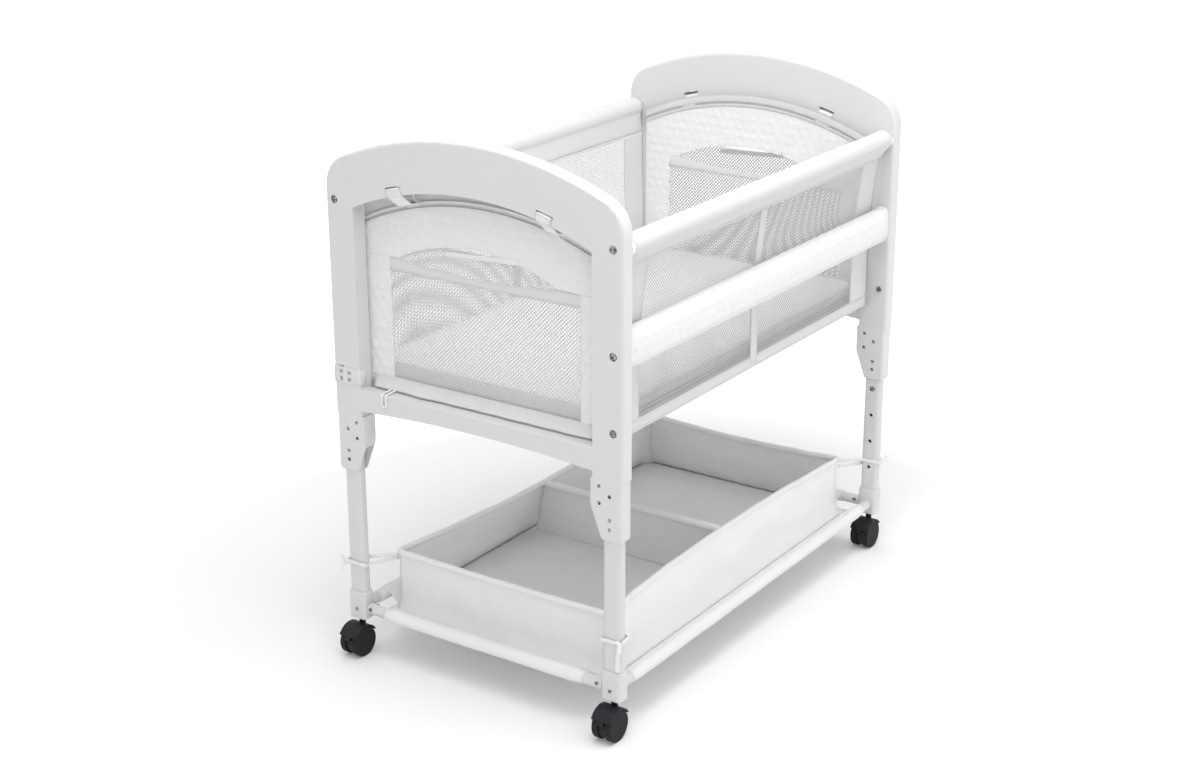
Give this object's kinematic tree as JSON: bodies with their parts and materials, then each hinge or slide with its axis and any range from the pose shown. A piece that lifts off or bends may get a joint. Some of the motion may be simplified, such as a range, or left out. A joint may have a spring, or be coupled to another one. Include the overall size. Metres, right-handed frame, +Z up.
{
  "type": "bassinet on stand",
  "caption": "Bedside bassinet with arched ends, mesh liner and padded front rails on a height-adjustable stand with a fabric basket and swivel casters.",
  "frame": {"origin": "on the floor, in the middle of the footprint with the casters included", "axes": "+X along the length from the left end to the right end, -Y the open front with two rails, +Y the rear, +Z up"},
  "size_m": [0.8937, 0.5376, 0.876],
  "materials": {
    "frame_white": "satin white lacquer",
    "bracket_white": "satin moulded white",
    "leg_white": "white powder coat",
    "tube_aluminium": "plain drawn",
    "rail_wood": "planed beech",
    "liner_fabric": "plain white weave",
    "liner_mesh": "white knitted mesh",
    "quilted_fabric": "dotted white plush",
    "mattress_fabric": "fitted white sheet",
    "board": "hardboard",
    "basket_fabric": "white canvas",
    "tie_tape": "white bias tape",
    "plate_white": "white painted strap plate",
    "bolt_steel": "dark zinc",
    "caster_black": "moulded black",
    "caster_tread": "black tyre"
  },
  "bodies": {
    "stand": {"left_front_leg": "leg_white", "left_rear_leg": "leg_white", "right_front_leg": "leg_white", "right_rear_leg": "leg_white", "left_front_foot": "bracket_white", "left_rear_foot": "bracket_white", "right_front_foot": "bracket_white", "right_rear_foot": "bracket_white", "front_base_rail": "leg_white", "rear_base_rail": "leg_white", "left_base_rail": "leg_white", "right_base_rail": "leg_white", "basket_tray": "basket_fabric", "basket_skirt": "basket_fabric", "basket_sleeves": "basket_fabric", "basket_divider": "basket_fabric", "basket_ties": "tie_tape", "leg_pins": "bolt_steel", "foot_screws": "bolt_steel"},
    "mattress": {"mattress_board": "board", "mattress_pad": "mattress_fabric"},
    "left_front_swivel": {"left_front_caster_yoke": "caster_black"},
    "left_front_wheels": {"left_front_caster_wheels": "caster_tread"},
    "left_rear_swivel": {"left_rear_caster_yoke": "caster_black"},
    "left_rear_wheels": {"left_rear_caster_wheels": "caster_tread"},
    "right_front_swivel": {"right_front_caster_yoke": "caster_black"},
    "right_front_wheels": {"right_front_caster_wheels": "caster_tread"},
    "right_rear_swivel": {"right_rear_caster_yoke": "caster_black"},
    "right_rear_wheels": {"right_rear_caster_wheels": "caster_tread"},
    "bassinet": {"bracket_screws": "bolt_steel", "frame_dowels": "rail_wood", "front_low_rail": "leg_white", "front_middle_pad": "quilted_fabric", "front_middle_rail": "rail_wood", "front_top_rail": "tube_aluminium", "front_top_sleeve": "liner_fabric", "front_wall": "liner_mesh", "left_arch": "frame_white", "left_bottom_rail": "frame_white", "left_end_wall": "liner_mesh", "left_front_bracket": "bracket_white", "left_front_post": "frame_white", "left_rear_bracket": "bracket_white", "left_rear_post": "frame_white", "liner_floor": "liner_fabric", "liner_tabs": "liner_fabric", "rail_bolts": "bolt_steel", "rear_low_rail": "leg_white", "rear_top_rail": "tube_aluminium", "rear_top_sleeve": "liner_fabric", "rear_wall": "liner_mesh", "right_arch": "frame_white", "right_bottom_rail": "frame_white", "right_end_wall": "liner_mesh", "right_front_bracket": "bracket_white", "right_front_post": "frame_white", "right_rear_bracket": "bracket_white", "right_rear_post": "frame_white", "strap_plates": "plate_white"}
  },
  "joints": [
    {"name": "height_adjust", "type": "slide", "parent": "stand", "child": "bassinet", "axis": [0, 0, 1], "range_m": [-0.15, 0]},
    {"name": "mattress_lift_out", "type": "slide", "parent": "bassinet", "child": "mattress", "axis": [0, 0, 1], "range_m": [0, 0.4]},
    {"name": "left_front_swivel_turn", "type": "hinge", "parent": "stand", "child": "left_front_swivel", "pos_m": [-0.4065, -0.246, 0.06], "axis": [0, 0, 1], "continuous": true},
    {"name": "left_front_wheel_roll", "type": "hinge", "parent": "left_front_swivel", "child": "left_front_wheels", "pos_m": [-0.4195, -0.246, 0.025], "axis": [0, 1, 0], "continuous": true},
    {"name": "left_rear_swivel_turn", "type": "hinge", "parent": "stand", "child": "left_rear_swivel", "pos_m": [-0.4065, 0.246, 0.06], "axis": [0, 0, 1], "continuous": true},
    {"name": "left_rear_wheel_roll", "type": "hinge", "parent": "left_rear_swivel", "child": "left_rear_wheels", "pos_m": [-0.4195, 0.246, 0.025], "axis": [0, 1, 0], "continuous": true},
    {"name": "right_front_swivel_turn", "type": "hinge", "parent": "stand", "child": "right_front_swivel", "pos_m": [0.4305, -0.246, 0.06], "axis": [0, 0, 1], "continuous": true},
    {"name": "right_front_wheel_roll", "type": "hinge", "parent": "right_front_swivel", "child": "right_front_wheels", "pos_m": [0.4175, -0.246, 0.025], "axis": [0, 1, 0], "continuous": true},
    {"name": "right_rear_swivel_turn", "type": "hinge", "parent": "stand", "child": "right_rear_swivel", "pos_m": [0.4305, 0.246, 0.06], "axis": [0, 0, 1], "continuous": true},
    {"name": "right_rear_wheel_roll", "type": "hinge", "parent": "right_rear_swivel", "child": "right_rear_wheels", "pos_m": [0.4175, 0.246, 0.025], "axis": [0, 1, 0], "continuous": true}
  ]
}
